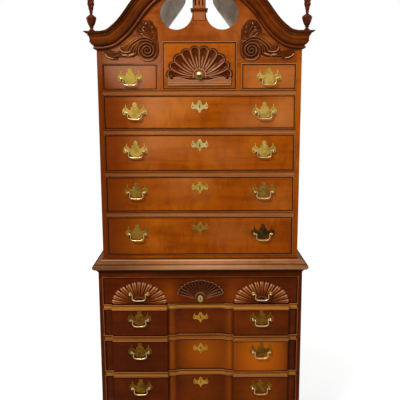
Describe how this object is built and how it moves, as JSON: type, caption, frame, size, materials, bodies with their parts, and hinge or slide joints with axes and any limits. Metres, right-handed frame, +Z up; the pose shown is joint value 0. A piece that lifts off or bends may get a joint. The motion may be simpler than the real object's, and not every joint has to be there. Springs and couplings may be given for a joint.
{
  "type": "highboy",
  "caption": "Bonnet-top chest-on-chest with swan-neck pediment, carved shells, sliding drawers, swinging bail handles and a block-front lower case on bracket feet.",
  "frame": {"origin": "middle of the foot of the bounding box, on the floor", "axes": "+Z up, -Y towards the drawer fronts, +X to the right as seen from the front"},
  "size_m": [1.0156, 0.5178, 2.4673],
  "materials": {
    "upper_case_wood": "polished cherry, orange-brown",
    "lower_case_wood": "polished cherry, dark red-brown",
    "moulding_wood": "polished cherry, dark stained",
    "finial_wood": "turned and carved, dark stained",
    "secondary_wood": "bare planed poplar",
    "bonnet_wood": "bare weathered boards",
    "brass": "lacquered cast brass"
  },
  "bodies": {
    "case": {"lower_carcass": "lower_case_wood", "lower_back_panel": "secondary_wood", "base_moulding": "moulding_wood", "front_left_foot": "moulding_wood", "front_right_foot": "moulding_wood", "rear_left_foot": "moulding_wood", "rear_right_foot": "moulding_wood", "waist_moulding": "moulding_wood", "upper_carcass": "upper_case_wood", "upper_back_panel": "secondary_wood", "pediment_board": "upper_case_wood", "bonnet_back_board": "bonnet_wood", "bonnet_roof": "bonnet_wood", "cornice_left": "moulding_wood", "cornice_right": "moulding_wood", "carved_scroll_left": "upper_case_wood", "carved_scroll_right": "upper_case_wood", "finial_left": "finial_wood", "finial_right": "finial_wood", "finial_centre": "finial_wood"},
    "upper_drawer_1": {"upper_drawer_1_front": "upper_case_wood", "upper_drawer_1_box": "secondary_wood"},
    "upper_drawer_2": {"upper_drawer_2_front": "upper_case_wood", "upper_drawer_2_box": "secondary_wood"},
    "upper_drawer_3": {"upper_drawer_3_front": "upper_case_wood", "upper_drawer_3_box": "secondary_wood"},
    "upper_drawer_4": {"upper_drawer_4_front": "upper_case_wood", "upper_drawer_4_box": "secondary_wood"},
    "top_left_drawer": {"top_left_drawer_front": "upper_case_wood", "top_left_drawer_box": "secondary_wood"},
    "top_centre_drawer": {"top_centre_drawer_front": "upper_case_wood", "top_centre_drawer_box": "secondary_wood"},
    "top_right_drawer": {"top_right_drawer_front": "upper_case_wood", "top_right_drawer_box": "secondary_wood"},
    "shell_drawer": {"shell_drawer_front": "lower_case_wood", "shell_drawer_box": "secondary_wood"},
    "block_drawer_1": {"block_drawer_1_front": "lower_case_wood", "block_drawer_1_box": "secondary_wood"},
    "block_drawer_2": {"block_drawer_2_front": "lower_case_wood", "block_drawer_2_box": "secondary_wood"},
    "block_drawer_3": {"block_drawer_3_front": "lower_case_wood", "block_drawer_3_box": "secondary_wood"},
    "upper_1_left_bail": {"upper_drawer_1_left_bail": "brass"},
    "upper_1_right_bail": {"upper_drawer_1_right_bail": "brass"},
    "upper_2_left_bail": {"upper_drawer_2_left_bail": "brass"},
    "upper_2_right_bail": {"upper_drawer_2_right_bail": "brass"},
    "upper_3_left_bail": {"upper_drawer_3_left_bail": "brass"},
    "upper_3_right_bail": {"upper_drawer_3_right_bail": "brass"},
    "upper_4_left_bail": {"upper_drawer_4_left_bail": "brass"},
    "upper_4_right_bail": {"upper_drawer_4_right_bail": "brass"},
    "top_left_bail": {"top_left_drawer_bail": "brass"},
    "top_right_bail": {"top_right_drawer_bail": "brass"},
    "shell_left_bail": {"shell_drawer_left_bail": "brass"},
    "shell_right_bail": {"shell_drawer_right_bail": "brass"},
    "block_1_left_bail": {"block_drawer_1_left_bail": "brass"},
    "block_1_right_bail": {"block_drawer_1_right_bail": "brass"},
    "block_2_left_bail": {"block_drawer_2_left_bail": "brass"},
    "block_2_right_bail": {"block_drawer_2_right_bail": "brass"},
    "block_3_left_bail": {"block_drawer_3_left_bail": "brass"},
    "block_3_right_bail": {"block_drawer_3_right_bail": "brass"}
  },
  "joints": [
    {"name": "upper_drawer_1_slide", "type": "slide", "parent": "case", "child": "upper_drawer_1", "axis": [0, -1, 0], "range_m": [0, 0.33]},
    {"name": "upper_drawer_2_slide", "type": "slide", "parent": "case", "child": "upper_drawer_2", "axis": [0, -1, 0], "range_m": [0, 0.33]},
    {"name": "upper_drawer_3_slide", "type": "slide", "parent": "case", "child": "upper_drawer_3", "axis": [0, -1, 0], "range_m": [0, 0.33]},
    {"name": "upper_drawer_4_slide", "type": "slide", "parent": "case", "child": "upper_drawer_4", "axis": [0, -1, 0], "range_m": [0, 0.33]},
    {"name": "top_left_drawer_slide", "type": "slide", "parent": "case", "child": "top_left_drawer", "axis": [0, -1, 0], "range_m": [0, 0.33]},
    {"name": "top_centre_drawer_slide", "type": "slide", "parent": "case", "child": "top_centre_drawer", "axis": [0, -1, 0], "range_m": [0, 0.33]},
    {"name": "top_right_drawer_slide", "type": "slide", "parent": "case", "child": "top_right_drawer", "axis": [0, -1, 0], "range_m": [0, 0.33]},
    {"name": "shell_drawer_slide", "type": "slide", "parent": "case", "child": "shell_drawer", "axis": [0, -1, 0], "range_m": [0, 0.34]},
    {"name": "block_drawer_1_slide", "type": "slide", "parent": "case", "child": "block_drawer_1", "axis": [0, -1, 0], "range_m": [0, 0.34]},
    {"name": "block_drawer_2_slide", "type": "slide", "parent": "case", "child": "block_drawer_2", "axis": [0, -1, 0], "range_m": [0, 0.34]},
    {"name": "block_drawer_3_slide", "type": "slide", "parent": "case", "child": "block_drawer_3", "axis": [0, -1, 0], "range_m": [0, 0.34]},
    {"name": "upper_1_left_swing", "type": "hinge", "parent": "upper_drawer_1", "child": "upper_1_left_bail", "pos_m": [-0.296, -0.2121, 1.6435], "axis": [-1, 0, 0], "range_deg": [-10, 165]},
    {"name": "upper_1_right_swing", "type": "hinge", "parent": "upper_drawer_1", "child": "upper_1_right_bail", "pos_m": [0.296, -0.2121, 1.6435], "axis": [-1, 0, 0], "range_deg": [-10, 165]},
    {"name": "upper_2_left_swing", "type": "hinge", "parent": "upper_drawer_2", "child": "upper_2_left_bail", "pos_m": [-0.296, -0.2121, 1.468], "axis": [-1, 0, 0], "range_deg": [-10, 165]},
    {"name": "upper_2_right_swing", "type": "hinge", "parent": "upper_drawer_2", "child": "upper_2_right_bail", "pos_m": [0.296, -0.2121, 1.468], "axis": [-1, 0, 0], "range_deg": [-10, 165]},
    {"name": "upper_3_left_swing", "type": "hinge", "parent": "upper_drawer_3", "child": "upper_3_left_bail", "pos_m": [-0.296, -0.2121, 1.277], "axis": [-1, 0, 0], "range_deg": [-10, 165]},
    {"name": "upper_3_right_swing", "type": "hinge", "parent": "upper_drawer_3", "child": "upper_3_right_bail", "pos_m": [0.296, -0.2121, 1.277], "axis": [-1, 0, 0], "range_deg": [-10, 165]},
    {"name": "upper_4_left_swing", "type": "hinge", "parent": "upper_drawer_4", "child": "upper_4_left_bail", "pos_m": [-0.296, -0.2121, 1.078], "axis": [-1, 0, 0], "range_deg": [-10, 165]},
    {"name": "upper_4_right_swing", "type": "hinge", "parent": "upper_drawer_4", "child": "upper_4_right_bail", "pos_m": [0.296, -0.2121, 1.078], "axis": [-1, 0, 0], "range_deg": [-10, 165]},
    {"name": "top_left_swing", "type": "hinge", "parent": "top_left_drawer", "child": "top_left_bail", "pos_m": [-0.3131, -0.2121, 1.794], "axis": [-1, 0, 0], "range_deg": [-10, 165]},
    {"name": "top_right_swing", "type": "hinge", "parent": "top_right_drawer", "child": "top_right_bail", "pos_m": [0.3131, -0.2121, 1.794], "axis": [-1, 0, 0], "range_deg": [-10, 165]},
    {"name": "shell_left_swing", "type": "hinge", "parent": "shell_drawer", "child": "shell_left_bail", "pos_m": [-0.291, -0.2491, 0.7955], "axis": [-1, 0, 0], "range_deg": [-10, 165]},
    {"name": "shell_right_swing", "type": "hinge", "parent": "shell_drawer", "child": "shell_right_bail", "pos_m": [0.291, -0.2491, 0.7955], "axis": [-1, 0, 0], "range_deg": [-10, 165]},
    {"name": "block_1_left_swing", "type": "hinge", "parent": "block_drawer_1", "child": "block_1_left_bail", "pos_m": [-0.291, -0.2521, 0.669], "axis": [-1, 0, 0], "range_deg": [-10, 165]},
    {"name": "block_1_right_swing", "type": "hinge", "parent": "block_drawer_1", "child": "block_1_right_bail", "pos_m": [0.291, -0.2521, 0.669], "axis": [-1, 0, 0], "range_deg": [-10, 165]},
    {"name": "block_2_left_swing", "type": "hinge", "parent": "block_drawer_2", "child": "block_2_left_bail", "pos_m": [-0.291, -0.2521, 0.506], "axis": [-1, 0, 0], "range_deg": [-10, 165]},
    {"name": "block_2_right_swing", "type": "hinge", "parent": "block_drawer_2", "child": "block_2_right_bail", "pos_m": [0.291, -0.2521, 0.506], "axis": [-1, 0, 0], "range_deg": [-10, 165]},
    {"name": "block_3_left_swing", "type": "hinge", "parent": "block_drawer_3", "child": "block_3_left_bail", "pos_m": [-0.291, -0.2521, 0.321], "axis": [-1, 0, 0], "range_deg": [-10, 165]},
    {"name": "block_3_right_swing", "type": "hinge", "parent": "block_drawer_3", "child": "block_3_right_bail", "pos_m": [0.291, -0.2521, 0.321], "axis": [-1, 0, 0], "range_deg": [-10, 165]}
  ]
}
